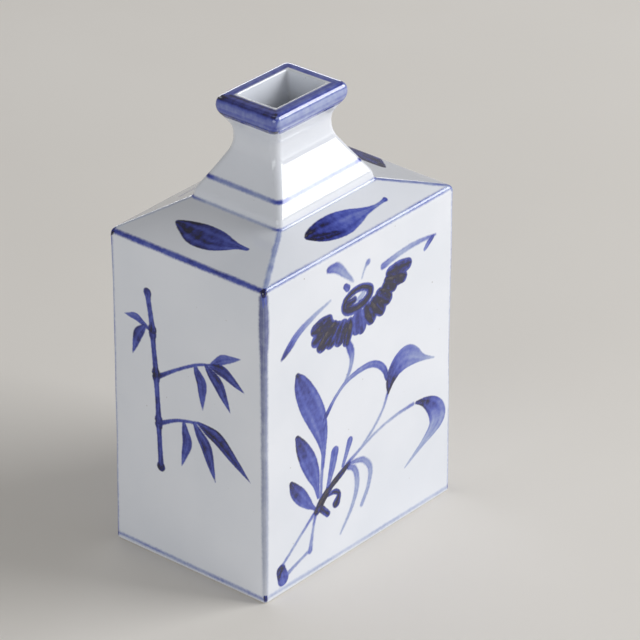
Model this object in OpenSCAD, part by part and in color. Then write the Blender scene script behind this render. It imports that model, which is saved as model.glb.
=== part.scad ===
// Rectangular porcelain sake bottle, put together from clay slabs, a neck and a lip.
// +X is the bottle's right, -Y its painted front, and the table is at z = 0.

/* [Body] */
// Width of the body across the left and right walls
body_w = 83; // [78:1:90]
// Depth of the body across the front and back walls
body_d = 57; // [54:1:64]
// Height of the edge where the walls turn into the shoulder
edge_z = 102; // [96:0.5:104]
// Thickness of the four walls
wall_t = 4; // [3:0.1:5]
// Rounding of the four upright corners
corner_r = 1.2; // [0.6:0.1:2]

/* [Base] */
// Thickness of the floor slab
base_t = 4.5; // [4:0.1:6]
// Width of the unglazed rim that stands on the table
foot_w = 5; // [4:0.1:8]
// Depth of the recess inside the foot rim
foot_recess = 1.2; // [0.6:0.1:2]
// Rounding of the recess's corners
recess_r = 4; // [2:0.5:8]
// Chamfer round the lower edge of the base
foot_chamfer = 0.8; // [0.4:0.1:1.2]

/* [Shoulder] */
// Height at which the shoulder slabs reach the neck
shoulder_z = 108.3; // [107:0.1:109]
// Thickness of the shoulder slabs, measured straight down
shoulder_t = 4.2; // [3.4:0.1:5]

/* [Neck] */
// Width of the neck where it stands on the shoulder
neck_base_w = 42; // [39:0.1:43]
// How much wider than deep the neck is, all the way up
neck_stretch = 8.4; // [6:0.1:10]
// Height of the steep skirt at the foot of the neck
skirt_h = 2.5; // [1:0.1:4]
// How far the skirt draws in on each side
skirt_in = 0.6; // [0.2:0.05:1.5]
// Width of the neck at its narrowest
waist_w = 25.4; // [22:0.1:26]
// Height of the narrowest point
waist_z = 128.4; // [128:0.1:130]
// Radius of the inward sweep below the waist
sweep_r = 11.1; // [8:0.1:14]
// Lean of the neck's straight flank from upright, in degrees
flank_angle = 28; // [24:1:32]
// Radius of the outward curve above the waist
flare_r = 6; // [5.8:0.1:8]
// Thickness of the neck's wall
neck_wall = 3; // [2.4:0.1:3.4]

/* [Lip] */
// Height of the top of the lip, which is the height of the bottle
total_h = 140; // [138:0.5:141]
// Height at which the lip starts
lip_z = 133.3; // [132.6:0.1:133.6]
// Width of the lip at its fullest
lip_w = 31.8; // [30:0.1:32]
// Height of the lip's fullest line above its lower edge
lip_belly_h = 3.45; // [3:0.05:4]
// Radius of the lip's rounded side
lip_round_r = 7; // [6.5:0.1:10]
// Width of the mouth
mouth_w = 21.8; // [20:0.1:23]
// Depth of the mouth
mouth_d = 14.6; // [13:0.1:16]

/* [Hidden] */

// Straight steps that make up each curve of the neck and the lip
curve_steps = 8;
// Facets of a full circle
$fn = 64;
// How far a cutting shape runs past the surface it cuts
spare = 1;
// Length that passes right through the bottle
through = 200;

// Half sizes of the body, outside and inside
half_w = body_w / 2;
half_d = body_d / 2;
room_w = half_w - wall_t;
room_d = half_d - wall_t;
// Top of the walls, where the shoulder slabs are seated
wall_top = edge_z - shoulder_t;
// The neck's half width and half depth are a mean half size plus or minus this
half_stretch = neck_stretch / 4;
neck_base_r = neck_base_w / 2 - half_stretch;
waist_r = waist_w / 2 - half_stretch;
lip_r = lip_w / 2 - half_stretch;
// Half sizes of the hole through the shoulder, which is the neck's passage at its foot
hole_w = neck_base_r - neck_wall + half_stretch;
hole_d = neck_base_r - neck_wall - half_stretch;
// Angle through which the curve above the waist has turned at the lip
flare_angle = asin((lip_z - waist_z) / flare_r);

glaze_white = "ghostwhite";
cobalt = "cornflowerblue";

// A half outline is a list of [half width, height] points that climbs from the bottom.
// This moves one sideways.
function widened(half_outline, by) = [for (p = half_outline) [p[0] + by, p[1]]];

// The outline on both sides of the middle
function both_sides(half_outline) = concat(
    half_outline,
    [for (i = [len(half_outline) - 1 : -1 : 0]) [-half_outline[i][0], half_outline[i][1]]]
);

// Height of the shoulder's top surface at a distance from the middle
function roof_z(half_body, half_neck, distance) =
    edge_z + (shoulder_z - edge_z) * (half_body - distance) / (half_body - half_neck);

// Outline of the shoulder's outside
function roof_outline(half_body, half_neck) = [
    [half_body, wall_top],
    [half_body, edge_z],
    [half_neck, shoulder_z]
];

// Outline of the room under the shoulder, up through the hole for the neck
function under_roof_outline(half_body, half_neck, half_room, half_hole) = [
    [half_room, wall_top - spare],
    [half_room, roof_z(half_body, half_neck, half_room) - shoulder_t],
    [half_hole, roof_z(half_body, half_neck, half_hole) - shoulder_t],
    [half_hole, shoulder_z + spare]
];

// The skirt, the straight flank and the sweep up to the waist, as mean half sizes
lower_neck = concat(
    [[neck_base_r, shoulder_z], [neck_base_r - skirt_in, shoulder_z + skirt_h]],
    [for (i = [curve_steps : -1 : 0])
        let (a = flank_angle * i / curve_steps)
        [waist_r + sweep_r * (1 - cos(a)), waist_z - sweep_r * sin(a)]]
);

// The curve from the waist out to the lip
upper_neck = [for (i = [1 : curve_steps])
    let (a = flare_angle * i / curve_steps)
    [waist_r + flare_r * (1 - cos(a)), waist_z + flare_r * sin(a)]];

// The lip's rounded side
lip_outline = [for (i = [0 : curve_steps])
    let (z = lip_z + (total_h - lip_z) * i / curve_steps)
    let (off_belly = z - lip_z - lip_belly_h)
    [lip_r - lip_round_r + sqrt(lip_round_r * lip_round_r - off_belly * off_belly), z]];

// The passage through the neck and the lip: parallel to the outside up to the waist, then
// straight out to the mouth
function passage_outline(side, half_mouth) = concat(
    [[neck_base_r - neck_wall + side, shoulder_z - spare]],
    widened(lower_neck, side - neck_wall),
    [[half_mouth, total_h], [half_mouth, total_h + spare]]
);

// A block whose front outline and side outline are both given
module two_outline_block(front_half, side_half) {
    intersection() {
        rotate([90, 0, 0])
            linear_extrude(height = through, center = true)
                polygon(both_sides(front_half));
        rotate([90, 0, 90])
            linear_extrude(height = through, center = true)
                polygon(both_sides(side_half));
    }
}

// A rectangle with round corners, centred on the axis
module round_rectangle(width, depth, radius) {
    square([width - 2 * radius, depth], center = true);
    square([width, depth - 2 * radius], center = true);
    for (x = [-1, 1])
        for (y = [-1, 1])
            translate([x * (width / 2 - radius), y * (depth / 2 - radius)])
                circle(r = radius);
}

module body_plan() {
    round_rectangle(body_w, body_d, corner_r);
}

// The plan between the mitres at two corners of the body, on one long side: straight in
// from each corner by the given steps
module long_side_plan(corner_w, corner_d, inner_w, inner_d) {
    polygon([
        [-half_w - spare, -half_d - spare * (half_d - corner_d) / (half_w - corner_w)],
        [half_w + spare, -half_d - spare * (half_d - corner_d) / (half_w - corner_w)],
        [corner_w, -corner_d],
        [inner_w, -inner_d],
        [-inner_w, -inner_d],
        [-corner_w, -corner_d]
    ]);
}

module short_side_plan(corner_w, corner_d, inner_w, inner_d) {
    side_spare = spare * (half_d - corner_d) / (half_w - corner_w);
    polygon([
        [-half_w - spare, -half_d - side_spare],
        [-corner_w, -corner_d],
        [-inner_w, -inner_d],
        [-inner_w, inner_d],
        [-corner_w, corner_d],
        [-half_w - spare, half_d + side_spare]
    ]);
}

// The four walls before they are parted at the mitres
module wall_ring() {
    translate([0, 0, base_t])
        linear_extrude(height = wall_top - base_t)
            difference() {
                body_plan();
                square([2 * room_w, 2 * room_d], center = true);
            }
}

// One long wall, at the front
module long_wall() {
    intersection() {
        wall_ring();
        linear_extrude(height = through)
            long_side_plan(room_w, room_d, room_w - spare, room_d - spare);
    }
}

// One short wall, at the left
module short_wall() {
    intersection() {
        wall_ring();
        linear_extrude(height = through)
            short_side_plan(room_w, room_d, room_w - spare, room_d - spare);
    }
}

// The shoulder before it is parted along the hips
module shoulder_shell() {
    half_neck_w = neck_base_r + half_stretch;
    half_neck_d = neck_base_r - half_stretch;
    difference() {
        intersection() {
            two_outline_block(
                roof_outline(half_w, half_neck_w),
                roof_outline(half_d, half_neck_d)
            );
            linear_extrude(height = through)
                body_plan();
        }
        two_outline_block(
            under_roof_outline(half_w, half_neck_w, room_w, hole_w),
            under_roof_outline(half_d, half_neck_d, room_d, hole_d)
        );
    }
}

// One long shoulder slab, at the front
module long_shoulder() {
    intersection() {
        shoulder_shell();
        linear_extrude(height = through)
            long_side_plan(hole_w + neck_wall, hole_d + neck_wall, hole_w - spare, hole_d - spare);
    }
}

// One short shoulder slab, at the left
module short_shoulder() {
    intersection() {
        shoulder_shell();
        linear_extrude(height = through)
            short_side_plan(hole_w + neck_wall, hole_d + neck_wall, hole_w - spare, hole_d - spare);
    }
}

module passage() {
    two_outline_block(
        passage_outline(half_stretch, mouth_w / 2),
        passage_outline(-half_stretch, mouth_d / 2)
    );
}

// Floor slab with a chamfered lower edge and a recess inside the foot rim
module base() {
    foot_outline = [[-foot_chamfer, 0], [0, foot_chamfer], [0, base_t]];
    color(glaze_white)
        difference() {
            intersection() {
                two_outline_block(widened(foot_outline, half_w), widened(foot_outline, half_d));
                linear_extrude(height = base_t)
                    body_plan();
            }
            translate([0, 0, -spare])
                linear_extrude(height = foot_recess + spare)
                    round_rectangle(body_w - 2 * foot_w, body_d - 2 * foot_w, recess_r);
        }
}

module wall_front() {
    color(glaze_white)
        long_wall();
}

module wall_back() {
    color(glaze_white)
        mirror([0, 1, 0])
            long_wall();
}

module wall_left() {
    color(glaze_white)
        short_wall();
}

module wall_right() {
    color(glaze_white)
        mirror([1, 0, 0])
            short_wall();
}

module shoulder_front() {
    color(glaze_white)
        long_shoulder();
}

module shoulder_back() {
    color(glaze_white)
        mirror([0, 1, 0])
            long_shoulder();
}

module shoulder_left() {
    color(glaze_white)
        short_shoulder();
}

module shoulder_right() {
    color(glaze_white)
        mirror([1, 0, 0])
            short_shoulder();
}

// Skirt, flank and waist, hollow right through
module neck() {
    outside = concat(lower_neck, upper_neck);
    color(glaze_white)
        difference() {
            two_outline_block(widened(outside, half_stretch), widened(outside, -half_stretch));
            passage();
        }
}

// Rolled band round the mouth
module lip() {
    color(cobalt)
        difference() {
            two_outline_block(widened(lip_outline, half_stretch), widened(lip_outline, -half_stretch));
            passage();
        }
}

base();
wall_front();
wall_back();
wall_left();
wall_right();
shoulder_front();
shoulder_back();
shoulder_left();
shoulder_right();
neck();
lip();
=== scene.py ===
"""Looks for a rectangular porcelain sake bottle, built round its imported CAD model.

The bottle's whole surface, outside and inside, is one loft of rounded rectangles. It follows
a path from the foot up the walls, over the shoulder, neck and lip, and down inside to the
floor. Each piece is cut from that loft, so that neighbours meet without a visible seam. The
brushwork is worked out from brush strokes at the loft's points and is kept with each mesh.
Lengths are in millimetres until a mesh is made. +Z is up and -Y is the painted front.
"""
import math

import bpy
import numpy as np
from mathutils import Matrix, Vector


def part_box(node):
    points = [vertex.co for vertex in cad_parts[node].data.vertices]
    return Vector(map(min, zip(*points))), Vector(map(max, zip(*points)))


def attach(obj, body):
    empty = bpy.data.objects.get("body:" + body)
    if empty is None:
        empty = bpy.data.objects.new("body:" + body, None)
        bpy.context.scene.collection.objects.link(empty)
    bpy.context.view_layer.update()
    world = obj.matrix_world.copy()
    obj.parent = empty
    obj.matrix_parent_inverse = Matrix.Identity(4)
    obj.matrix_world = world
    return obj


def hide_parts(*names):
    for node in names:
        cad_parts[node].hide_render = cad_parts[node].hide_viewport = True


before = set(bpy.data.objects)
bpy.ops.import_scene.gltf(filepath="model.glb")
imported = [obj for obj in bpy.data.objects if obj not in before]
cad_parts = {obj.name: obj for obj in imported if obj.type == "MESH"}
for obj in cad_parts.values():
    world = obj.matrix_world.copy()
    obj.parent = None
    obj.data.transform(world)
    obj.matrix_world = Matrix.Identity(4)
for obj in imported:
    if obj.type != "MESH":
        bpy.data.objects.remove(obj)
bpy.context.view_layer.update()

MM = 0.001
X, Y, Z = np.eye(3)


# ---------------------------------------------------------------- sizes

def node_box(node):
    """A CAD node's lowest and highest corners, in millimetres."""
    low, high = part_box(node)
    return np.array(low) / MM, np.array(high) / MM


# How far the glazed body stands out past the CAD model's sharp one, to keep its rounded
# corners where the sharp corners are
SWELL = 0.3
front_low, front_high = node_box("wall_front")
HALF_D = SWELL - front_low[1]
WALL_T = front_high[1] - front_low[1]
BASE_TOP, WALL_TOP = front_low[2], front_high[2]
HALF_W = SWELL + node_box("wall_right")[1][0]
NECK_W, NECK_D, LIP_Z = node_box("neck")[1]
SHOULDER_Z = node_box("neck")[0][2]
LIP_W, LIP_D, TOP_Z = node_box("lip")[1]
ROOM_W, ROOM_D = HALF_W - WALL_T, HALF_D - WALL_T

# Height of the edge between the walls and the shoulder, as in the CAD model
EDGE_Z = 102.0
# Foot rim and the recess inside it
FOOT_W, RECESS_H, RECESS_R = 5.0, 1.2, 4.0
# Thickness of the neck's wall
NECK_WALL = 3.0
# Half width of the neck at its narrowest, and half sizes of the mouth
WAIST_W, WAIST_Z = 12.9, 128.4
MOUTH_W, MOUTH_D = 10.9, 7.3
# Rounding of the corners in plan
BODY_R, SKIRT_R, NECK_R, LIP_R, INNER_R = 1.0, 1.5, 2.6, 1.6, 0.9
# How far to the right the neck stands, how far it leans back to the left by its top, and the
# heights between which it leans
NECK_SHIFT = 0.5
LEAN, LEAN_FROM, LEAN_TO = 1.0, 112.0, 136.0
# How steeply the lip falls, the shares of that to the right and to the back, and the heights
# between which the slope comes in
TILT, FALL_X, FALL_Y = 0.025, 0.6, 0.8
TILT_FROM, TILT_TO = 129.0, 134.0
# How far the walls bow inwards at half height, how uneven the surface is, and the height up
# from the foot over which both come in
WALL_BOW = 0.28
UNEVEN = 0.07
TRUE_FOOT = 3.0

# Spacing of the loft's rows on the painted outside and on the plain inside
OUTSIDE_STEP, INSIDE_STEP = 0.4, 3.0
# Rows in each rounding along the path, columns in half a corner, and columns on each side
SOFT_ROWS, CORNER_COLUMNS = 6, 5
WIDE_COLUMNS, NARROW_COLUMNS = 190, 130


# ---------------------------------------------------------------- the loft

def neck_size(half_w):
    """Half width and half depth of the neck or lip where its half width is half_w."""
    return half_w, half_w - (LIP_W - LIP_D)


# name, half width, half depth, height, corner rounding in plan, rounding along the path
OUTSIDE = [
    ("recess", HALF_W - FOOT_W, HALF_D - FOOT_W, RECESS_H, RECESS_R, 0),
    ("foot_in", HALF_W - FOOT_W, HALF_D - FOOT_W, 0, RECESS_R, 0.4),
    ("foot_out", HALF_W, HALF_D, 0, BODY_R, 1.0),
    ("base_top", HALF_W, HALF_D, BASE_TOP, BODY_R, 0),
    ("wall_top", HALF_W + 0.05, HALF_D + 0.05, WALL_TOP, BODY_R, 0),
    ("edge", HALF_W + 0.1, HALF_D + 0.1, EDGE_Z, BODY_R, 1.7),
    ("neck_foot", NECK_W + 0.3, NECK_D - 0.3, SHOULDER_Z, SKIRT_R, 0.9),
    ("knee", NECK_W - 0.2, NECK_D - 0.7, 110.8, SKIRT_R, 1.0),
    ("flank", *neck_size(16.8), 117.2, 2.2, 3.0),
    ("waist_low", *neck_size(WAIST_W), 124.4, NECK_R, 3.1),
    ("waist_high", *neck_size(WAIST_W), 130.4, NECK_R, 2.1),
    ("lip_foot", *neck_size(14.8), LIP_Z + 0.3, NECK_R, 0),
    ("underlip", LIP_W + 0.05, LIP_D + 0.05, 135.4, 2.3, 1.2),
    ("belly", LIP_W + 0.15, LIP_D + 0.15, 137.0, 2.0, 0.3),
    ("top_edge", LIP_W - 0.1, LIP_D - 0.1, TOP_Z, LIP_R, 2.6),
    ("mouth_edge", MOUTH_W, MOUTH_D, TOP_Z, INNER_R, 0.5),
]
INSIDE = [
    ("mouth_seam", *neck_size(10.3), LIP_Z + 0.3, INNER_R, 0),
    ("throat", *neck_size(WAIST_W - NECK_WALL), WAIST_Z, INNER_R, 1.5),
    ("passage_knee", *neck_size(17.3), 110.8, INNER_R, 1.0),
    ("hole_top", NECK_W - NECK_WALL, NECK_D - NECK_WALL, SHOULDER_Z, INNER_R, 0.6),
    ("hole_foot", NECK_W - NECK_WALL, NECK_D - NECK_WALL, 105.4, INNER_R, 0.6),
    ("under_edge", ROOM_W, ROOM_D, 99.4, BODY_R, 0.7),
    ("room_top", ROOM_W, ROOM_D, WALL_TOP, BODY_R, 0),
    ("room_foot", ROOM_W, ROOM_D, BASE_TOP, BODY_R, 1.5),
    ("floor", ROOM_W - 8, ROOM_D - 8, BASE_TOP, BODY_R, 0),
]


def loft_rows(keys):
    """Rows of half width, half depth, height and plan rounding, and the row of each key."""
    points = [np.array(k[1:5], float) for k in keys]
    rows, row_of = [points[0]], {keys[0][0]: 0}
    for i in range(1, len(keys)):
        name, soft = keys[i][0], keys[i][5]
        step = OUTSIDE_STEP if i < len(OUTSIDE) else INSIDE_STEP
        here, way_in = points[i], points[i] - points[i - 1]
        start, end = rows[-1], here - way_in * soft / np.linalg.norm(way_in[:3])
        count = max(1, math.ceil(np.linalg.norm((end - start)[:3]) / step))
        rows += [start + (end - start) * n / count for n in range(1, count + 1)]
        if soft:
            way_out = points[i + 1] - here
            after = here + way_out * soft / np.linalg.norm(way_out[:3])
            turn = [n / SOFT_ROWS for n in range(1, SOFT_ROWS + 1)]
            rows += [(1 - t) ** 2 * end + 2 * t * (1 - t) * here + t * t * after for t in turn]
            row_of[name] = len(rows) - 1 - SOFT_ROWS // 2
        else:
            row_of[name] = len(rows) - 1
    return np.array(rows), row_of


def loft_columns():
    """Each column's share of the straight sides and its direction round the corners, for
    front, right, back and left in turn, and the first column of each side, with the number
    of columns after them."""
    columns, first = [], []
    for side in range(4):
        first.append(len(columns))
        facing = math.radians(90 * (side - 1))
        normal = np.array([math.cos(facing), math.sin(facing)])
        along = np.array([-normal[1], normal[0]])
        count = NARROW_COLUMNS if side % 2 else WIDE_COLUMNS
        for n in range(CORNER_COLUMNS):
            turn = facing - math.pi / 4 * (1 - n / CORNER_COLUMNS)
            columns.append([*(normal - along), math.cos(turn), math.sin(turn)])
        for n in range(count):
            columns.append([*(normal + along * (2 * n / count - 1)), *normal])
        for n in range(CORNER_COLUMNS):
            turn = facing + math.pi / 4 * n / CORNER_COLUMNS
            columns.append([*(normal + along), math.cos(turn), math.sin(turn)])
    first.append(len(columns))
    return np.array(columns), first


def loft_points(rows, columns):
    """The loft's points, by row and column."""
    half = rows[:, None, :2] - rows[:, None, 3:4]
    plan = half * columns[None, :, :2] + rows[:, None, 3:4] * columns[None, :, 2:]
    height = np.broadcast_to(rows[:, None, 2:3], plan.shape[:2] + (1,))
    return np.concatenate([plan, height], axis=2)


def unit(vectors):
    """The vectors' directions, as vectors of length 1."""
    return vectors / np.maximum(np.linalg.norm(vectors, axis=-1, keepdims=True), 1e-9)


def loft_normals(points):
    """Smooth normals, which point away from the porcelain."""
    across = unit(np.roll(points, -1, axis=1) - points)
    across = unit(across + np.roll(across, 1, axis=1))
    steps = unit(np.diff(points, axis=0))
    along = unit(np.concatenate([steps[:1], steps[1:] + steps[:-1], steps[-1:]]))
    return unit(np.cross(across, along))


def ease(values, low, high):
    """0 below low, 1 above high, and a smooth change between them."""
    t = np.clip((values - low) / (high - low), 0, 1)
    return t * t * (3 - 2 * t)


def set_neck(points):
    """The points with the neck and lip shifted, leaning and tipped as on the real bottle."""
    across, back, height = np.moveaxis(points, 2, 0)
    moved = points.copy()
    moved[..., 0] += NECK_SHIFT * np.clip((height - EDGE_Z) / (SHOULDER_Z - EDGE_Z), 0, 1)
    moved[..., 0] -= LEAN * ease(height, LEAN_FROM, LEAN_TO)
    moved[..., 2] -= TILT * (FALL_X * across + FALL_Y * back) * ease(height, TILT_FROM, TILT_TO)
    return moved


def waver(points):
    """A slow waver in the surface, as a pressed clay wall has, from seeded waves."""
    rng = np.random.default_rng(11)
    total = np.zeros(points.shape[:-1])
    waves = 6
    for _ in range(waves):
        direction = unit(rng.normal(size=3))
        length = rng.uniform(16, 42)
        total += np.sin(points @ direction * 2 * math.pi / length + rng.uniform(0, 2 * math.pi))
    return total * UNEVEN / math.sqrt(waves)


def hand_made(points, normals):
    """The points with the outside bowed inwards and wavering above the foot."""
    height = points[..., 2]
    bow = WALL_BOW * np.sin(math.pi * np.clip(height / EDGE_Z, 0, 1))
    push = (waver(points) - bow) * np.clip(height / TRUE_FOOT, 0, 1)
    push[outside_rows:] = 0
    return points + normals * push[..., None]


rows, row_of = loft_rows(OUTSIDE + INSIDE)
columns, first_column = loft_columns()
outside_rows = row_of["mouth_edge"] + SOFT_ROWS
# The strokes are laid on the true loft, and the pieces are cut from the uneven one
true_points = set_neck(loft_points(rows, columns))
true_normals = loft_normals(true_points)
points = hand_made(true_points, true_normals)
normals = loft_normals(points)


# ---------------------------------------------------------------- brushes

# Each stroke is a line of samples, x, y, z, width and load, with the load in its middle if
# that is darker, the softness of its edge in millimetres, and the share of grey iron in its
# blue. The load of pigment runs from 0 for bare glaze, through a pale wash at 0.3, to navy
# at 0.9, near black at 1.1 and a grey brown where it is thickest.
strokes = []
# Samples between two of a stroke's points
STROKE_STEPS = 8
# Softness of an ordinary edge and of the edge of a thin wash that has spread in the glaze,
# and the distance from a stroke, in units of its softness, past which it has no say
SOFT, WASH, REACH = 0.24, 0.4, 5.0
# A stroke's least width, where the brush is lifted
HAIR = 0.05
# How much a ruled line's width and load change along it
RULED_PRESS, RULED_WET = 0.15, 0.08
# Columns between a ring line's samples, how far its dark corners reach, and how much its
# width, load and height change along it
RING_STEP, RING_CORNER = 20, 2.2
RING_PRESS, RING_WET, RING_WANDER = 0.12, 0.06, 0.1


def smooth_line(values):
    """A smooth curve through the given values, at even steps between them."""
    values = np.asarray(values, float)
    padded = np.vstack([2 * values[0] - values[1], values, 2 * values[-1] - values[-2]])
    t = np.linspace(0, 1, STROKE_STEPS, endpoint=False)[:, None]
    parts = []
    for a, b, c, d in zip(padded, padded[1:], padded[2:], padded[3:]):
        parts.append(0.5 * (2 * b + (c - a) * t + (2 * a - 5 * b + 4 * c - d) * t ** 2
                            + (3 * b - 3 * c + d - a) * t ** 3))
    return np.vstack(parts + [values[-1:]])


def stroke(samples, core=None, soft=SOFT, iron=0.0):
    """Adds a stroke along a smooth curve through the samples."""
    line = smooth_line(samples)
    line[:, 3] = np.maximum(line[:, 3], HAIR)
    strokes.append((line, core, soft, iron))


class Face:
    """A flat side of the bottle that is painted on: its lower left corner as it is seen from
    outside, and the directions across it and up it."""

    def __init__(self, origin, across, up, width=0.0, mirrored=False):
        self.origin, self.across, self.up = (np.array(v, float) for v in (origin, across, up))
        self.width, self.mirrored = width, mirrored

    def point(self, across, up):
        if self.mirrored:
            across = self.width - across
        return self.origin + self.across * across + self.up * up

    def brush(self, *samples, core=None, soft=SOFT):
        """One stroke from samples of across, up, width and load."""
        stroke([[*self.point(a, u), width, load] for a, u, width, load in samples], core, soft)


def line_noise(length, seed):
    """A slow wander between -1 and 1, one value for each sample of a line."""
    rng = np.random.default_rng(seed)
    t = np.linspace(0, 1, length)
    waves = [np.sin(2 * math.pi * (rng.uniform(1, 5) * t + rng.uniform())) for _ in range(4)]
    return np.mean(waves, axis=0)


def ruled_line(start, end, widths, loads, seed, soft=0.4, wander=0.12, iron=0.0):
    """A brushed line along an edge. widths and loads are its values at both ends."""
    count = 11
    t = np.linspace(0, 1, count)
    start, end = np.array(start, float), np.array(end, float)
    way = unit(end - start)
    side = unit(np.cross(way, Z)) if abs(way[2]) < 0.9 else X
    drift, press, wet = (line_noise(count, seed + n) for n in range(3))
    samples = []
    for n in range(count):
        place = start + (end - start) * t[n] + side * drift[n] * wander
        width = (widths[0] + (widths[1] - widths[0]) * t[n]) * (1 + RULED_PRESS * press[n])
        load = loads[0] + (loads[1] - loads[0]) * t[n] + RULED_WET * wet[n]
        samples.append([*place, width, load])
    stroke(samples, soft=soft, iron=iron)


def nearest_row(half_w, z):
    """The loft's outside row nearest to a half width and height."""
    return np.argmin(np.hypot(rows[:outside_rows, 0] - half_w, rows[:outside_rows, 2] - z))


def ring_line(half_w, z, width, loads, seed, corners=0.2, soft=0.3, stray=0.0):
    """A brushed line round the neck or lip, along the nearest row. loads are its values on
    the front, right, back and left, corners is what a corner adds, and stray is how far the
    whole ring lies towards the front."""
    picked, wet = [], []
    for load, first, last in zip(loads, first_column, first_column[1:]):
        straight, end = first + CORNER_COLUMNS, last - CORNER_COLUMNS
        side = [*range(first, straight), *range(straight, end, RING_STEP), *range(end, last)]
        picked += side
        wet += [load] * len(side)
    picked.append(picked[0])
    wet.append(wet[0])
    places = true_points[nearest_row(half_w, z), picked]
    middle, size = (places.max(0) + places.min(0)) / 2, (places.max(0) - places.min(0)) / 2
    to_corner = np.linalg.norm(np.abs(places - middle)[:, :2] - size[:2], axis=1)
    wet = np.array(wet) + corners * np.exp(-(to_corner / RING_CORNER) ** 2)
    wander = line_noise(len(picked), seed)
    wander[-1] = wander[0]
    widths = width * (1 + RING_PRESS * wander)
    line = np.column_stack([places, widths, wet + RING_WET * wander])
    line[:, 1] -= stray
    line[:, 2] += RING_WANDER * wander
    strokes.append((line, None, soft, 0.0))


# ---------------------------------------------------------------- what is painted

FACE_W, FACE_D = HALF_W - SWELL, HALF_D - SWELL
FRONT = Face((-FACE_W, -HALF_D, 0), X, Z)
LEFT = Face((-HALF_W, FACE_D, 0), -Y, Z)
BACK = Face((FACE_W, HALF_D, 0), -X, Z, 2 * FACE_W, mirrored=True)
RIGHT = Face((HALF_W, -FACE_D, 0), Y, Z, 2 * FACE_D, mirrored=True)


def blossom(face, x, z, seed):
    """A dark blossom seen from the side: a bowl of uneven petals under its heart."""
    rng = np.random.default_rng(seed)
    petals = 15
    for n in range(petals):
        t = n / (petals - 1)
        turn = math.radians(184 + 172 * t + rng.uniform(-3.5, 3.5))
        reach = rng.uniform(0.86, 1.06)
        # the bowl's half width and depth, and its height, which grow towards the right
        out_w, out_h, lift = 17.5 + 4.5 * t, 12.4, 4.5 + 4 * t
        tip = (x + reach * out_w * math.cos(turn), z + lift + reach * out_h * math.sin(turn))
        root = (x + 0.7 * out_w * math.cos(turn), z + lift + 0.6 * out_h * math.sin(turn))
        middle = ((root[0] + tip[0]) / 2, (root[1] + tip[1]) / 2)
        wide = rng.uniform(4.2, 6.2)
        core = 0.76 if n in (petals // 2, petals // 2 + 1) else rng.uniform(0.94, 1.1)
        ends = wide * 0.8
        face.brush((*root, ends, 0.7), (*middle, wide, 0.72), (*tip, ends, 0.74), core=core)
    heart = [(x + 0.6 + 5.9 * math.cos(a), z + 5.6 + 3.0 * math.sin(a))
             for a in np.radians(np.linspace(150, 510, 11))]
    face.brush(*[(*p, 3.4 if 1 < n < 7 else 2.6, 0.72) for n, p in enumerate(heart)], core=1.06)
    face.brush((x - 3.4, z + 5.2, 3.0, 0.8), (x - 0.6, z + 5.6, 2.4, 0.8), core=1.04)
    face.brush((x + 1.6, z + 5.0, 2.2, 0.3), (x + 3.4, z + 6.0, 2.0, 0.25), soft=WASH)


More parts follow.
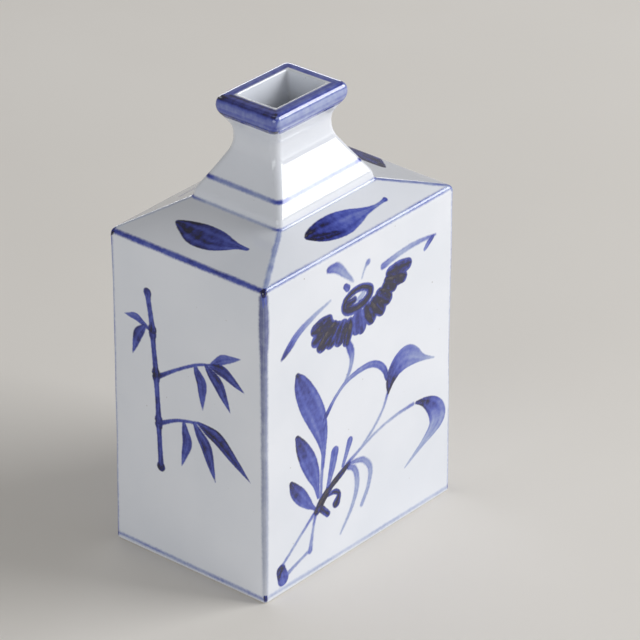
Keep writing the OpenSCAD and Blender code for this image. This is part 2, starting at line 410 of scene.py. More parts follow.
def flower_spray(face, seed):
    """A blossom on an arching stem that rises from a tuft of leaves and grass."""
    blossom(face, 39.5, 77.5, seed)
    # sepals and slender leaves beside the blossom
    face.brush((27.6, 97.6, 2.4, 0.66), (31.0, 96.8, 3.4, 0.46), (34.6, 93.4, 2.4, 0.36),
               (38.4, 89.4, 0.8, 0.3), soft=WASH)
    face.brush((34.8, 89.2, 2.0, 0.72), (35.9, 88.2, 2.4, 0.66))
    face.brush((42.2, 88.8, 0.7, 0.24), (43.4, 91.4, 0.9, 0.28), (44.9, 93.0, 2.0, 0.44), soft=WASH)
    face.brush((28.2, 87.4, 0.8, 0.2), (21.0, 85.4, 1.8, 0.32), (14.4, 82.8, 2.6, 0.48),
               (10.4, 79.8, 2.8, 0.74), (7.4, 77.4, 1.3, 0.86), soft=WASH)
    face.brush((51.6, 88.8, 2.4, 0.5), (58.0, 89.8, 2.0, 0.32), (66.0, 90.2, 1.8, 0.36),
               (75.0, 89.5, 0.8, 0.56), soft=WASH)
    face.brush((73.8, 89.2, 1.6, 0.66), (72.0, 88.0, 2.0, 0.62), (70.4, 86.6, 1.4, 0.4))
    # stem, from the blossom to the tuft
    face.brush((36.0, 70.6, 2.4, 0.72), (37.4, 67.6, 3.0, 0.6), (38.0, 64.4, 2.1, 0.42),
               (36.8, 60.4, 1.5, 0.34), (34.6, 57.2, 1.2, 0.34), soft=WASH)
    face.brush((26.4, 50.2, 1.6, 0.74), (25.4, 42.0, 1.3, 0.5), (24.9, 33.0, 1.2, 0.42),
               (24.3, 24.5, 1.2, 0.5))
    # leaves on the left
    face.brush((14.0, 69.2, 1.8, 0.9), (15.9, 64.8, 6.2, 0.78), (19.0, 58.6, 8.4, 0.68),
               (22.4, 52.0, 8.0, 0.64), (24.6, 45.8, 5.6, 0.64), (25.5, 39.6, 2.4, 0.6),
               (25.2, 34.0, 1.3, 0.5))
    face.brush((14.0, 48.8, 1.8, 0.94), (16.2, 44.2, 5.0, 0.84), (18.8, 39.0, 6.4, 0.7),
               (20.9, 34.2, 5.4, 0.66), (22.4, 29.6, 2.9, 0.62), (23.2, 25.0, 1.1, 0.6))
    face.brush((11.3, 34.8, 1.8, 0.94), (13.0, 31.8, 4.2, 0.86), (15.6, 28.6, 4.9, 0.72),
               (18.3, 25.4, 3.5, 0.66), (20.5, 23.0, 1.7, 0.62), (22.3, 21.4, 1.0, 0.7))
    # upper arch with its leaf
    face.brush((26.8, 50.6, 1.9, 0.76), (30.6, 54.6, 1.4, 0.46), (35.0, 57.6, 1.5, 0.4),
               (40.0, 58.9, 1.9, 0.46), (45.2, 59.0, 2.1, 0.5), (49.4, 57.6, 2.3, 0.56),
               (52.6, 54.6, 2.2, 0.64), (54.0, 51.0, 1.8, 0.8))
    face.brush((54.6, 45.8, 1.0, 1.0), (55.6, 49.4, 4.0, 0.94), (58.2, 52.8, 6.6, 0.7),
               (62.0, 54.3, 7.8, 0.52), (65.6, 53.4, 6.0, 0.44), (69.0, 51.5, 3.0, 0.38),
               (72.2, 50.0, 1.4, 0.32), (75.6, 48.6, 0.5, 0.26))
    # lower arch with its leaf
    face.brush((36.0, 30.2, 1.6, 0.6), (41.0, 32.3, 1.2, 0.36), (50.0, 35.4, 1.0, 0.28),
               (58.0, 36.8, 1.1, 0.3), (66.0, 37.1, 1.2, 0.5), soft=WASH)
    face.brush((67.4, 36.9, 1.0, 0.94), (71.4, 35.4, 3.2, 0.94), (75.4, 32.2, 6.2, 0.66),
               (77.3, 28.2, 7.4, 0.46), (75.4, 25.0, 4.8, 0.38), (71.0, 22.0, 2.4, 0.32),
               (66.6, 19.5, 1.4, 0.26), (62.4, 17.2, 0.6, 0.2))
    face.brush((54.3, 45.8, 1.2, 0.5), (52.2, 41.6, 1.1, 0.34), (49.0, 38.0, 1.1, 0.3),
               (45.6, 35.2, 1.1, 0.3), (42.6, 33.2, 0.8, 0.28), soft=WASH)
    # short blades standing in the tuft
    face.brush((30.6, 37.0, 3.4, 0.62), (29.4, 32.4, 3.0, 0.56), (28.0, 28.2, 1.9, 0.54),
               (26.6, 24.6, 1.0, 0.6))
    face.brush((37.4, 37.6, 2.6, 0.62), (36.0, 34.4, 2.0, 0.46), (34.2, 30.6, 1.4, 0.5))
    # drooping grass
    face.brush((35.4, 29.6, 1.4, 0.6), (39.4, 27.2, 2.1, 0.42), (40.6, 21.8, 2.2, 0.34),
               (38.4, 15.6, 1.6, 0.3), (33.0, 8.4, 0.9, 0.24), soft=WASH)
    face.brush((37.4, 30.0, 1.3, 0.5), (43.2, 28.6, 1.9, 0.4), (46.6, 24.2, 2.1, 0.36),
               (45.6, 18.6, 1.7, 0.32), (42.6, 13.8, 1.6, 0.34), soft=WASH)
    # knot where everything meets
    face.brush((22.6, 20.6, 2.8, 0.9), (25.4, 23.6, 3.2, 0.98), (29.0, 26.2, 2.4, 0.94),
               (33.4, 28.4, 2.5, 0.92), (37.0, 30.2, 1.6, 0.8), core=1.08)
    face.brush((24.4, 20.8, 2.4, 0.92), (27.4, 17.6, 2.2, 0.72), core=1.04)
    face.brush((27.6, 23.8, 1.3, 0.7), (30.6, 23.6, 1.9, 0.72), (32.4, 22.0, 1.8, 0.8),
               (31.2, 19.6, 3.4, 0.86), core=1.04)
    # roots, and a bud on a runner
    face.brush((21.6, 20.6, 1.3, 0.56), (14.6, 15.4, 1.1, 0.34), (7.6, 10.0, 1.2, 0.4), soft=WASH)
    face.brush((22.0, 20.0, 1.3, 0.56), (20.6, 14.6, 1.2, 0.36), (19.4, 8.8, 2.0, 0.46), soft=WASH)
    face.brush((6.6, 8.2, 4.0, 0.8), (7.5, 5.0, 4.7, 0.66))
    face.brush((6.4, 8.4, 2.2, 0.98), (5.8, 6.8, 1.8, 0.92))
    face.brush((8.8, 5.6, 1.7, 0.44), (13.6, 7.4, 1.2, 0.34), (18.8, 9.0, 1.2, 0.38), soft=WASH)


def bamboo_leaf(face, root, middle, tip, wide, load=0.82):
    """A pointed leaf pressed out of a loaded brush and lifted to nothing."""
    half = [(root[i] + middle[i]) / 2 for i in (0, 1)]
    far = [(tip[i] + middle[i]) / 2 for i in (0, 1)]
    face.brush((*root, 1.0, load - 0.1), (*half, wide * 0.78, load), (*middle, wide, load),
               (*far, wide * 0.64, load - 0.06), (*tip, 0.25, load - 0.14))


def bamboo(face):
    """A bamboo stem with its joints, twigs and their leaves."""
    joints = [(17.6, 29.6), (17.0, 45.0), (16.3, 60.2), (15.2, 74.0), (13.6, 87.0)]
    for low, high in zip(joints, joints[1:]):
        lean = (high[0] - low[0]) / (high[1] - low[1])
        foot, head = low[1] + 1.1, high[1] - 0.5
        face.brush((low[0], foot, 3.2, 0.92), (low[0] + lean * 2, foot + 2, 2.1, 0.8),
                   (high[0] - lean * 2.4, head - 2.4, 2.0, 0.7), (high[0], head, 3.0, 0.88))
    # twigs
    face.brush((17.2, 60.4, 1.6, 0.82), (24.0, 65.0, 1.1, 0.66), (32.0, 69.6, 1.0, 0.6),
               (38.0, 71.6, 0.8, 0.6))
    face.brush((17.6, 45.2, 1.6, 0.82), (24.4, 48.6, 1.1, 0.66), (32.4, 50.6, 1.0, 0.6))
    face.brush((14.4, 74.4, 1.2, 0.76), (11.6, 75.6, 0.8, 0.62))
    # leaves
    bamboo_leaf(face, (36.6, 71.2), (42.2, 70.8), (49.6, 66.8), 3.9)
    bamboo_leaf(face, (35.0, 70.6), (39.8, 66.2), (44.2, 58.4), 4.2)
    bamboo_leaf(face, (31.0, 69.0), (33.6, 64.0), (33.8, 55.4), 3.8, 0.76)
    bamboo_leaf(face, (37.4, 71.8), (42.0, 75.0), (48.4, 77.4), 3.0, 0.66)
    bamboo_leaf(face, (32.0, 50.6), (40.0, 47.8), (51.6, 38.4), 4.7, 0.88)
    bamboo_leaf(face, (30.4, 50.0), (35.0, 43.6), (38.4, 33.4), 4.3)
    bamboo_leaf(face, (26.6, 49.0), (27.8, 42.4), (25.6, 34.0), 3.6, 0.74)
    bamboo_leaf(face, (12.4, 75.4), (9.6, 71.6), (7.4, 64.6), 3.4, 0.8)
    bamboo_leaf(face, (13.2, 75.2), (9.0, 77.0), (4.6, 76.6), 2.5, 0.64)


def shoulder_face(half_across, half_out, neck_out, out, across):
    """A shoulder slab as a painted face, with its origin at the lower left corner."""
    corner = -across * (half_across - SWELL) + out * half_out + Z * EDGE_Z
    up = unit(-out * (half_out - neck_out) + Z * (SHOULDER_Z - EDGE_Z))
    return Face(corner, across, up)


def long_leaf(face):
    """The leaf on a wide shoulder slab, with a thin stalk that ends in a dot."""
    face.brush((26.5, 8.0, 1.8, 0.94), (28.2, 7.9, 3.8, 0.94), (31.0, 7.5, 6.2, 0.9),
               (35.0, 7.2, 8.0, 0.8), (40.0, 6.9, 8.3, 0.68), (45.0, 6.8, 6.2, 0.6),
               (50.0, 6.6, 3.0, 0.54), (54.6, 6.4, 1.3, 0.5), (58.0, 6.6, 1.1, 0.5),
               (59.6, 6.8, 1.6, 0.62))
    face.brush((28.4, 7.0, 1.6, 0.98), (32.0, 5.9, 2.4, 0.94), (36.4, 5.0, 1.6, 0.86), soft=0.6)


def short_leaf(face, slope=0.0):
    """The leaf on a narrow shoulder slab. slope lowers its tail."""
    spine = [(15.6, 11.6, 1.4, 0.94), (17.2, 11.4, 3.2, 0.96), (20.4, 11.0, 5.9, 0.94),
             (25.2, 10.3, 8.9, 0.88), (30.2, 10.3, 8.4, 0.82), (34.8, 10.8, 5.0, 0.76),
             (37.8, 11.4, 2.5, 0.72), (41.4, 11.8, 1.2, 0.72)]
    face.brush(*[(a, u - slope * (a - 15), width, load) for a, u, width, load in spine])


flower_spray(FRONT, 5)
flower_spray(BACK, 8)
bamboo(LEFT)
bamboo(RIGHT)
long_leaf(shoulder_face(HALF_W, HALF_D, NECK_D, -Y, X))
long_leaf(shoulder_face(HALF_W, HALF_D, NECK_D, Y, -X))
short_leaf(shoulder_face(HALF_D, HALF_W, NECK_W, -X, -Y))
# the right shoulder's leaf lies lower and further back, so that its tip shows past the neck
right_shoulder = shoulder_face(HALF_D, HALF_W, NECK_W, X, Y)
right_shoulder.origin += Y * 4 - right_shoulder.up * 3.4
short_leaf(right_shoulder, slope=0.22)

# Heights of the line round the foot, at its start and its end on each side, and of the blots
# at its corners, and how far the upright lines stop short of the body's corners
FOOT_START_Z, FOOT_END_Z, FOOT_BLOT_Z = 1.9, 1.5, 2.0
UPRIGHT_GAP = 2.6
# How far the lines round the shoulder's edge run above it, and how far inside the neck's
# foot in the CAD model the lines up the hips end
EDGE_UP = 0.2
HIP_IN_X, HIP_IN_Y = 0.1, 0.6
# Widths of the lines round the foot and, at both ends, up the hips
FOOT_WIDTH, HIP_WIDTHS = 1.1, (1.7, 1.4)
# The lines along the body's edges, corner by corner: the corner's sides in x and y, the
# widths and loads at the lower and upper end of the upright line, the load where the brush
# paused at the top, the load of the line up the shoulder's hip, the width and load of the
# shoulder's edge and the load of the line at the foot that run on from the corner, and the
# upright line's share of iron
EDGE_LINES = [
    ((-1, -1), (2.7, 3.9), (0.12, 0.5), 1.0, 0.28, 1.9, 0.34, 0.2, 0.7),
    # the pause at the right front corner is kept pale, a painted highlight on that corner
    ((1, -1), (1.8, 1.8), (0.32, 0.34), 0.4, 0.36, 1.4, 0.4, 0.3, 0.0),
    ((1, 1), (1.6, 1.6), (0.4, 0.4), 0.8, 0.36, 1.4, 0.46, 0.3, 0.0),
    # the line up the back left hip is almost bare, a pale painted highlight along that hip
    ((-1, 1), (1.9, 2.1), (0.36, 0.32), 0.96, 0.02, 2.2, 0.62, 0.34, 0.0),
]


def blot(place, drop, widths, loads, soft):
    """A short pause of the brush, which ends lower than it starts by drop."""
    stroke([[*place, widths[0], loads[0]], [*(place - Z * drop), widths[1], loads[1]]], soft=soft)


for number, edge_line in enumerate(EDGE_LINES):
    (sx, sy), widths, loads, pause, hip_load, edge_width, edge_load, foot_load, iron = edge_line
    foot = np.array([sx * HALF_W, sy * HALF_D, 0])
    next_x, next_y = EDGE_LINES[(number + 1) % 4][0]
    next_foot = np.array([next_x * HALF_W, next_y * HALF_D, 0])
    rise = Z * (EDGE_Z + EDGE_UP)
    top, next_top, seed = foot + rise, next_foot + rise, 40 + 10 * number
    hip = np.array([sx * (NECK_W - HIP_IN_X) + NECK_SHIFT, sy * (NECK_D - HIP_IN_Y), SHOULDER_Z])
    ruled_line(foot + Z * UPRIGHT_GAP, top - Z * UPRIGHT_GAP, widths, loads, seed, soft=0.55,
               iron=iron)
    ruled_line(top, next_top, (edge_width, edge_width), (edge_load, edge_load), seed + 3, soft=0.45)
    ruled_line(top, hip, HIP_WIDTHS, (hip_load, hip_load + 0.04), seed + 5)
    ruled_line(foot + Z * FOOT_START_Z, next_foot + Z * FOOT_END_Z, (FOOT_WIDTH, FOOT_WIDTH),
               (foot_load, foot_load), seed + 7, soft=0.6)
    # the pause at the top, its paler end further down, and the blot at the foot
    blot(top, 0.6, (3.3, 3.1), (pause, pause), 0.35)
    blot(top - Z * 2.8, 1.6, (2.2, 2.0), (pause * 0.6, pause * 0.5), 0.6)
    blot(foot + Z * FOOT_BLOT_Z, 0.6, (2.0, 1.9), (0.8, 0.8), 0.4)

# Half width and height of the lip's lower border
BORDER = (15.3, 134.5)
ring_line(NECK_W, SHOULDER_Z, 1.0, (0.12, 0.26, 0.26, 0.24), 81, corners=0.4, soft=0.45)
ring_line(18.0, 114.7, 1.3, (0.3, 0.3, 0.3, 0.31), 83, corners=0.44, soft=0.4)
# the lip's wash, its darker lower border, its top, and the dark line round its outer edge
ring_line(LIP_W, 136.9, 4.7, (0.4, 0.42, 0.42, 0.54), 85, corners=0.04)
# the lower border is partly a brushed line and partly painted shade under the lip's bulge, darkest
# on the left, which is the side in shade
ring_line(*BORDER, 1.8, (0.54, 0.6, 0.7, 0.8), 87, corners=0.2)
# the top lies towards the front, which leaves a bare strip along the mouth's front inner edge and a
# paler outer edge at the back, painted highlights on both
ring_line(13.45, TOP_Z, 3.5, (0.57, 0.56, 0.56, 0.79), 89, corners=0.14, stray=0.3)
# the dark line round the outer edge is kept pale on the front and almost bare on the back, painted
# highlights along that edge
ring_line(LIP_W - 0.35, TOP_Z - 0.5, 0.95, (0.14, 0.3, 0.08, 0.97), 91, corners=0.2)
# a dark drop under the lip's front left corner
drop = true_points[nearest_row(*BORDER), first_column[0]]
blot(drop, -0.4, (1.5, 1.3), (1.1, 1.04), 0.4)


# ---------------------------------------------------------------- painting the loft

# Load kept at points that no stroke reaches, where it doesn't show
BARE_LOAD = 0.4
# Marks of coarse and fine bristles: waves across half the width, how far they move from one
# stroke to the next, and their strength; and how much they change the load
BRISTLES = ((5.5, 1.0, 1.0), (12, 2.3, 0.7))
BRISTLE_LOAD = 0.09
# How far inside the edge pigment has pooled, and how much it adds to the load
POOL_IN, POOL_LOAD = 0.3, 0.03
# How far inside the edge a darker core starts, and how far in from there it is full
CORE_IN = 0.45


def brush_marks(number, line, core, reach, places, facing):
    """The distance from each place to a stroke's edge, negative inside it and no more than
    reach, and the stroke's load there."""
    edge = np.full(len(places), reach)
    load = np.zeros(len(places))
    for start, end in zip(line, line[1:]):
        way = end[:3] - start[:3]
        length = max(way @ way, 1e-9)
        t = np.clip((places - start[:3]) @ way / length, 0, 1)
        gap = places - start[:3] - way * t[:, None]
        half = (start[3] + (end[3] - start[3]) * t) / 2
        away = np.linalg.norm(gap, axis=1) - half
        side = np.einsum("ij,ij->i", np.cross(way / math.sqrt(length), gap), facing) / half
        here = start[4] + (end[4] - start[4]) * t
        if core is not None:
            here = here + (core - here) * np.clip((-away - CORE_IN) / CORE_IN, 0, 1)
        bristles = sum(strength * np.sin(waves * side + shift * number)
                       for waves, shift, strength in BRISTLES)
        pooled = np.exp(-((away + POOL_IN) / POOL_IN) ** 2)
        here = here * (1 + BRISTLE_LOAD * bristles) + POOL_LOAD * pooled
        load = np.where(away < edge, here, load)
        edge = np.minimum(away, edge)
    return edge, load


def paint(samples, facing):
    """For each sample, the distance to the nearest stroke's edge in units of its softness,
    negative inside it, and the pigment's load and share of iron there."""
    edge = np.full(len(samples), REACH)
    load = np.full(len(samples), BARE_LOAD)
    grey = np.zeros(len(samples))
    for number, (line, core, soft, iron) in enumerate(strokes):
        reach = REACH * soft + line[:, 3].max() / 2
        low, high = line[:, :3].min(0) - reach, line[:, :3].max(0) + reach
        near = np.nonzero(((samples > low) & (samples < high)).all(1))[0]
        if not len(near):
            continue
        away, wet = brush_marks(number, line, core, REACH * soft, samples[near], facing[near])
        away = away / soft
        both = (away < 0) & (edge[near] < 0)
        wins = np.where(both, wet > load[near], away < edge[near])
        load[near] = np.where(wins, wet, load[near])
        grey[near] = np.where(wins, iron, grey[near])
        edge[near] = np.minimum(away, edge[near])
    return edge, load, grey


# What the glaze's shader reads at each of the loft's points. The inside stays bare.
paint_layers = {
    "brush_edge": np.full(points.shape[:2], REACH),
    "pigment": np.full(points.shape[:2], BARE_LOAD),
    "iron_share": np.zeros(points.shape[:2]),
}
canvas, canvas_normals = (part[:outside_rows].reshape(-1, 3) for part in (true_points, true_normals))
for layer, values in zip(paint_layers.values(), paint(canvas, canvas_normals)):
    layer[:outside_rows] = values.reshape(outside_rows, -1)


# ---------------------------------------------------------------- materials

def srgb(red, green, blue):
    """A screen colour, 0 to 255, as a shader colour."""
    def linear(value):
        value /= 255
        return value / 12.92 if value <= 0.04045 else ((value + 0.055) / 1.055) ** 2.4
    return (linear(red), linear(green), linear(blue), 1)


class Shader:
    """A material's node tree, with one short call for each kind of node."""

    def __init__(self, name):
        self.material = bpy.data.materials.new(name)
        self.material.use_nodes = True
        self.tree = self.material.node_tree
        self.surface = self.tree.nodes["Principled BSDF"]
        self.place = self.tree.nodes.new("ShaderNodeTexCoord").outputs["Object"]

    def put(self, value, socket):
        if isinstance(value, bpy.types.NodeSocket):
            self.tree.links.new(value, socket)
        else:
            socket.default_value = value

    def noise(self, scale, detail=2.0, roughness=0.5):
        node = self.tree.nodes.new("ShaderNodeTexNoise")
        self.put(self.place, node.inputs["Vector"])
        self.put(scale, node.inputs["Scale"])
        self.put(detail, node.inputs["Detail"])
        self.put(roughness, node.inputs["Roughness"])
        return node.outputs["Fac"]

    def attribute(self, name):
        node = self.tree.nodes.new("ShaderNodeAttribute")
        node.attribute_name = name
        return node.outputs["Fac"]

    def maths(self, operation, *values):
        node = self.tree.nodes.new("ShaderNodeMath")
        node.operation = operation
        for value, socket in zip(values, node.inputs):
            self.put(value, socket)
        return node.outputs[0]

    def rescale(self, value, low, high, to_low=0.0, to_high=1.0, smooth=False):
        node = self.tree.nodes.new("ShaderNodeMapRange")
        node.interpolation_type = "SMOOTHSTEP" if smooth else "LINEAR"
        for given, socket in zip((value, low, high, to_low, to_high), node.inputs):
            self.put(given, socket)
        return node.outputs["Result"]

    def ramp(self, value, stops):
        node = self.tree.nodes.new("ShaderNodeValToRGB")
        elements = node.color_ramp.elements
        for n, (place, colour) in enumerate(stops):
            element = elements[n] if n < 2 else elements.new(place)
            element.position, element.color = place, colour
        self.put(value, node.inputs["Fac"])
        return node.outputs["Color"]

    def mix(self, share, first, second):
        node = self.tree.nodes.new("ShaderNodeMix")
        node.data_type = "RGBA"
        self.put(share, node.inputs["Factor"])
        colours = [socket for socket in node.inputs if socket.type == "RGBA"]
        self.put(first, colours[0])
        self.put(second, colours[1])
        return next(socket for socket in node.outputs if socket.type == "RGBA")

    def bump(self, height, strength, distance):
        node = self.tree.nodes.new("ShaderNodeBump")
        self.put(height, node.inputs["Height"])
        self.put(strength, node.inputs["Strength"])
        self.put(distance, node.inputs["Distance"])
        return node.outputs["Normal"]

    def set(self, **values):
        for name, value in values.items():
            self.put(value, self.surface.inputs[name.replace("_", " ")])


# Screen colours of the pigment by its load, as cobalt blue and where it is grey with iron
FULL_LOAD = 1.25
COBALT = [
    (0.0, (214, 221, 237)),
    (0.30, (155, 167, 203)),
    (0.48, (110, 122, 188)),
    (0.64, (74, 87, 176)),
    (0.84, (39, 48, 132)),
    (0.98, (18, 19, 72)),
    (1.10, (13, 12, 48)),
    (FULL_LOAD, (70, 64, 70)),
]
IRON = [
    (0.0, (222, 224, 228)),
    (0.30, (156, 161, 180)),
    (0.48, (113, 118, 146)),
    (0.64, (82, 86, 116)),
    (0.84, (46, 48, 78)),
    (FULL_LOAD, (34, 32, 40)),
]


def glaze(name, white, shade, coat):
    """Clear glaze over white porcelain, with the brushwork under it and a few specks in it."""
    shader = Shader(name)
    # where the strokes are, with a ragged edge, and their colour, with a mottled load
    ragged = shader.maths("MULTIPLY_ADD", shader.noise(1100, 3), 1.2, -0.6)
    edge = shader.maths("ADD", shader.attribute("brush_edge"), ragged)
    cover = shader.rescale(edge, 1.0, -1.0, smooth=True)
    mottle = shader.rescale(shader.noise(420, 4, 0.6), 0.3, 0.7, 0.83, 1.17)
    load = shader.maths("MULTIPLY", shader.attribute("pigment"), mottle)
    depth = shader.maths("DIVIDE", load, FULL_LOAD)
    cobalt, iron = (
        shader.ramp(depth, [(stop / FULL_LOAD, srgb(*colour)) for stop, colour in pigment])
        for pigment in (COBALT, IRON)
    )
    paint_colour = shader.mix(shader.attribute("iron_share"), cobalt, iron)
    # the white between them, slightly uneven in tone, with its specks
    body = shader.mix(shader.rescale(shader.noise(28, 3), 0.35, 0.65), white, shade)
    specks = shader.rescale(shader.noise(640, 1), 0.79, 0.84, 0.0, 0.5)
    body = shader.mix(specks, body, srgb(120, 104, 92))
    ripple = shader.maths("MULTIPLY_ADD", shader.noise(900, 2), 0.12, shader.noise(120, 2))
    shader.set(
        Base_Color=shader.mix(cover, body, paint_colour),
        Roughness=shader.rescale(shader.noise(90, 3), 0.3, 0.7, 0.05, 0.12),
        IOR=1.52,
        Coat_Weight=coat,
        Coat_Roughness=0.03,
        Normal=shader.bump(ripple, 0.25, 0.00012),
    )
    return shader.material


def biscuit(name):
    """Bare matt porcelain on the foot rim, with fine grit and grey marks from the table."""
    shader = Shader(name)
    grit = shader.noise(1500, 4, 0.7)
    wear = shader.rescale(shader.noise(70, 5, 0.65), 0.45, 0.7)
    clean = shader.mix(grit, srgb(226, 222, 212), srgb(206, 200, 188))
    shader.set(
        Base_Color=shader.mix(wear, clean, srgb(168, 160, 148)),
        Roughness=shader.rescale(grit, 0.3, 0.7, 0.62, 0.85),
        Normal=shader.bump(grit, 0.5, 0.0001),
    )
    return shader.material


# The lip takes a stronger coat, for the highlight along its edge
body_glaze = glaze("clear_glaze_on_white", srgb(229, 232, 239), srgb(222, 226, 234), 0.35)
lip_glaze = glaze("clear_glaze_on_lip", srgb(229, 232, 239), srgb(220, 225, 234), 0.9)
foot_biscuit = biscuit("bare_foot_rim")


# ---------------------------------------------------------------- pieces

def quad_grid(tall, wide, rows_join, columns_join):
    """The quads of a grid of points, and the rows below and above each quad. The last row or
    column joins up with the first where that is asked for."""
    tops, lasts = tall if rows_join else tall - 1, wide if columns_join else wide - 1
    below, j = (part.ravel() for part in np.indices((tops, lasts)))
    above, on = (below + 1) % tall, (j + 1) % wide
    corners = [below * wide + j, below * wide + on, above * wide + on, above * wide + j]
    return np.stack(corners, axis=1), below, above


def closed_mesh(name, place, quads, quad_normals, ends, is_bare):
    """A mesh of quads with given normals and of flat ends. Bare quads take material 1."""
    loops = np.concatenate([quads.ravel(), *ends]).astype(np.int32)
    sizes = np.array([4] * len(quads) + [len(end) for end in ends])
    materials = np.zeros(len(sizes), dtype=np.int32)
    materials[:len(quads)] = is_bare
    mesh = bpy.data.meshes.new(name)
    mesh.vertices.add(len(place))
    mesh.vertices.foreach_set("co", (place * MM).ravel())
    mesh.loops.add(len(loops))
    mesh.loops.foreach_set("vertex_index", loops)
    mesh.polygons.add(len(sizes))
    mesh.polygons.foreach_set("loop_start", np.concatenate([[0], np.cumsum(sizes)[:-1]]))
    mesh.polygons.foreach_set("material_index", materials)
    mesh.update(calc_edges=True)

    end_normals = []
    for end in ends:
        spokes = place[end] - place[end].mean(0)
        normal = unit(np.cross(spokes, np.roll(spokes, -1, axis=0)).sum(0))
        end_normals += [normal] * len(end)
    custom = np.concatenate([quad_normals.reshape(-1, 3), np.array(end_normals).reshape(-1, 3)])
    mesh.normals_split_custom_set(custom.tolist())
    return mesh


def grid_piece(name, node, material, row_spans, column_span=None, bare_rows=None):
    """Cuts one closed piece out of the loft.

    row_spans are pairs of row names, in the order of the path. A piece with a column_span
    runs from mitre to mitre, and any other goes all the way round. The base, which has bare
    rows, is closed by a flat floor at each end of its rows, and the rest join up."""
    picked = np.concatenate([np.arange(row_of[low], row_of[high] + 1) for low, high in row_spans])
    all_round, is_base = column_span is None, bare_rows is not None
    if all_round:
        spread = np.arange(len(columns))
    else:
        spread = np.arange(column_span[0], column_span[1] + 1) % len(columns)
    cut = np.ix_(picked, spread)
    tall, wide = len(picked), len(spread)
    quads, below, above = quad_grid(tall, wide, not is_base, all_round)

    order = np.arange(tall * wide).reshape(tall, wide)
    if is_base:
        ends = [order[0, ::-1], order[-1]]
        is_bare = (picked[below] >= row_of[bare_rows[0]]) & (picked[below] < row_of[bare_rows[1]])
    else:
        ends = [] if all_round else [order[:, 0], order[::-1, -1]]
        is_bare = False

    place, smooth = points[cut].reshape(-1, 3), normals[cut].reshape(-1, 3)
    corners = place[quads]
    flat = unit(np.cross(corners[:, 2] - corners[:, 0], corners[:, 3] - corners[:, 1]))
    is_skin = picked[above] - picked[below] == 1
    quad_normals = np.where(is_skin[:, None, None], smooth[quads], flat[:, None, :])

    mesh = closed_mesh(name, place, quads, quad_normals, ends, is_bare)
    for layer_name, values in paint_layers.items():
        layer = mesh.attributes.new(layer_name, "FLOAT", "POINT")
        layer.data.foreach_set("value", values[cut].ravel())
    mesh.materials.append(material)
    if is_base:
        mesh.materials.append(foot_biscuit)
    piece = bpy.data.objects.new(name, mesh)
    bpy.context.scene.collection.objects.link(piece)
    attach(piece, "root")
    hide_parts(node)


SIDES = ("front", "right", "back", "left")
for side, span in zip(SIDES, zip(first_column, first_column[1:])):
    grid_piece(f"glazed_wall_{side}", f"wall_{side}", body_glaze,
               [("base_top", "wall_top"), ("room_top", "room_foot")], span)
    grid_piece(f"glazed_shoulder_{side}", f"shoulder_{side}", body_glaze,
               [("wall_top", "neck_foot"), ("hole_top", "room_top")], span)
grid_piece("glazed_neck", "neck", body_glaze,
           [("neck_foot", "lip_foot"), ("mouth_seam", "hole_top")])
grid_piece("glazed_lip", "lip", lip_glaze, [("lip_foot", "mouth_seam")])
grid_piece("glazed_base", "base", body_glaze,
           [("recess", "base_top"), ("room_foot", "floor")], bare_rows=("foot_in", "foot_out"))


# ---------------------------------------------------------------- camera, floor and light

# The view: to the bottle's front left and above, from far off with a long lens. Angles are
# in degrees, and the camera's distances and shifts follow the bottle's height.
AZIMUTH, ELEVATION, ROLL = -49.80, 29.13, 0.033
DISTANCE = 10.29 * TOP_Z
AIM_RIGHT, AIM_UP = 0.075 * TOP_Z, -0.030 * TOP_Z
LENS, SENSOR = 281.25, 36.0
# Nearest and furthest distance that the camera shows, in metres
NEAR, FAR = 0.05, 20
# Radius of the round floor and height that the lights face, in metres
FLOOR_R = 3.0
LIGHT_AIM = 0.08
# Soft boxes: name, azimuth and elevation in degrees, distance, width and height in metres,
# power in watts, and colour
LIGHTS = [
    ("window", 43, 23, 1.5, 1.1, 0.82, 21.2, (0.985, 0.99, 1.0)),
    ("far_wall", -80, 15, 1.8, 1.6, 0.8, 9.5, (0.94, 0.97, 1.0)),
    ("behind", 140, 10, 2.0, 1.4, 0.4, 6, (0.97, 0.985, 1.0)),
]
ROOM_COLOUR, ROOM_STRENGTH = (1.0, 0.97, 0.925, 1), 0.26


def bearing(azimuth, elevation):
    """The direction from the bottle towards an azimuth, where 0 is in front and 90 is to the
    right, and an elevation, in degrees."""
    a, e = math.radians(azimuth), math.radians(elevation)
    return np.array([math.sin(a) * math.cos(e), -math.cos(a) * math.cos(e), math.sin(e)])


def put_up(thing, right, up, back, place):
    """Puts a camera or light in the scene at a place in metres, facing away from back."""
    thing.matrix_world = Matrix([*zip(right, up, back, place), (0, 0, 0, 1)])
    bpy.context.scene.collection.objects.link(thing)


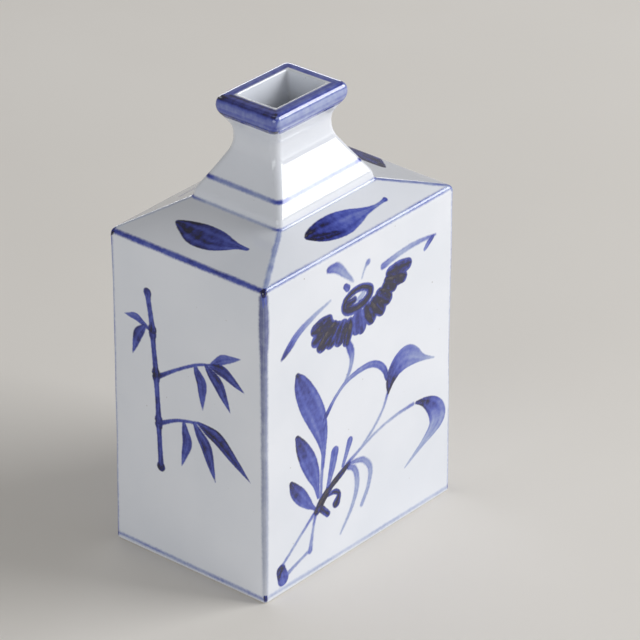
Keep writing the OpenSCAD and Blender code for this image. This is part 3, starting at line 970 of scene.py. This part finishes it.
def add_camera():
    back = bearing(AZIMUTH, ELEVATION)
    level = unit(np.cross(Z, back))
    upright = np.cross(back, level)
    roll = math.radians(ROLL)
    right = math.cos(roll) * level + math.sin(roll) * upright
    up = math.cos(roll) * upright - math.sin(roll) * level
    place = Z * TOP_Z / 2 + back * DISTANCE + right * AIM_RIGHT + up * AIM_UP
    camera = bpy.data.objects.new("camera", bpy.data.cameras.new("camera"))
    camera.data.lens, camera.data.sensor_width = LENS, SENSOR
    camera.data.clip_start, camera.data.clip_end = NEAR, FAR
    put_up(camera, right, up, back, place * MM)
    bpy.context.scene.camera = camera


def add_floor():
    """A plain pale surface with a soft, faint gloss."""
    segments = 64
    turns = [2 * math.pi * n / segments for n in range(segments)]
    ring = [(FLOOR_R * math.cos(turn), FLOOR_R * math.sin(turn), 0) for turn in turns]
    mesh = bpy.data.meshes.new("floor")
    mesh.from_pydata(ring, [], [tuple(range(segments))])
    floor = bpy.data.objects.new("floor", mesh)
    bpy.context.scene.collection.objects.link(floor)
    shader = Shader("pale_table")
    tone = shader.mix(shader.noise(6, 3), srgb(236, 233, 228), srgb(230, 226, 220))
    sheen = shader.rescale(shader.noise(14, 3), 0.3, 0.7, 0.55, 0.7)
    shader.set(Base_Color=tone, Roughness=sheen, Specular_IOR_Level=0.2)
    mesh.materials.append(shader.material)


def add_light(name, azimuth, elevation, distance, width, tall, power, colour):
    """A soft box that faces the bottle."""
    back = bearing(azimuth, elevation)
    level = unit(np.cross(Z, back))
    light = bpy.data.objects.new(name, bpy.data.lights.new(name, "AREA"))
    light.data.shape = "RECTANGLE"
    light.data.size, light.data.size_y = width, tall
    light.data.energy, light.data.color = power, colour
    put_up(light, level, np.cross(back, level), back, Z * LIGHT_AIM + back * distance)


def add_world():
    world = bpy.data.worlds.new("room")
    world.use_nodes = True
    background = world.node_tree.nodes["Background"]
    background.inputs["Color"].default_value = ROOM_COLOUR
    background.inputs["Strength"].default_value = ROOM_STRENGTH
    bpy.context.scene.world = world


add_camera()
add_floor()
add_world()
for light in LIGHTS:
    add_light(*light)
bpy.context.scene.view_settings.view_transform = "Standard"
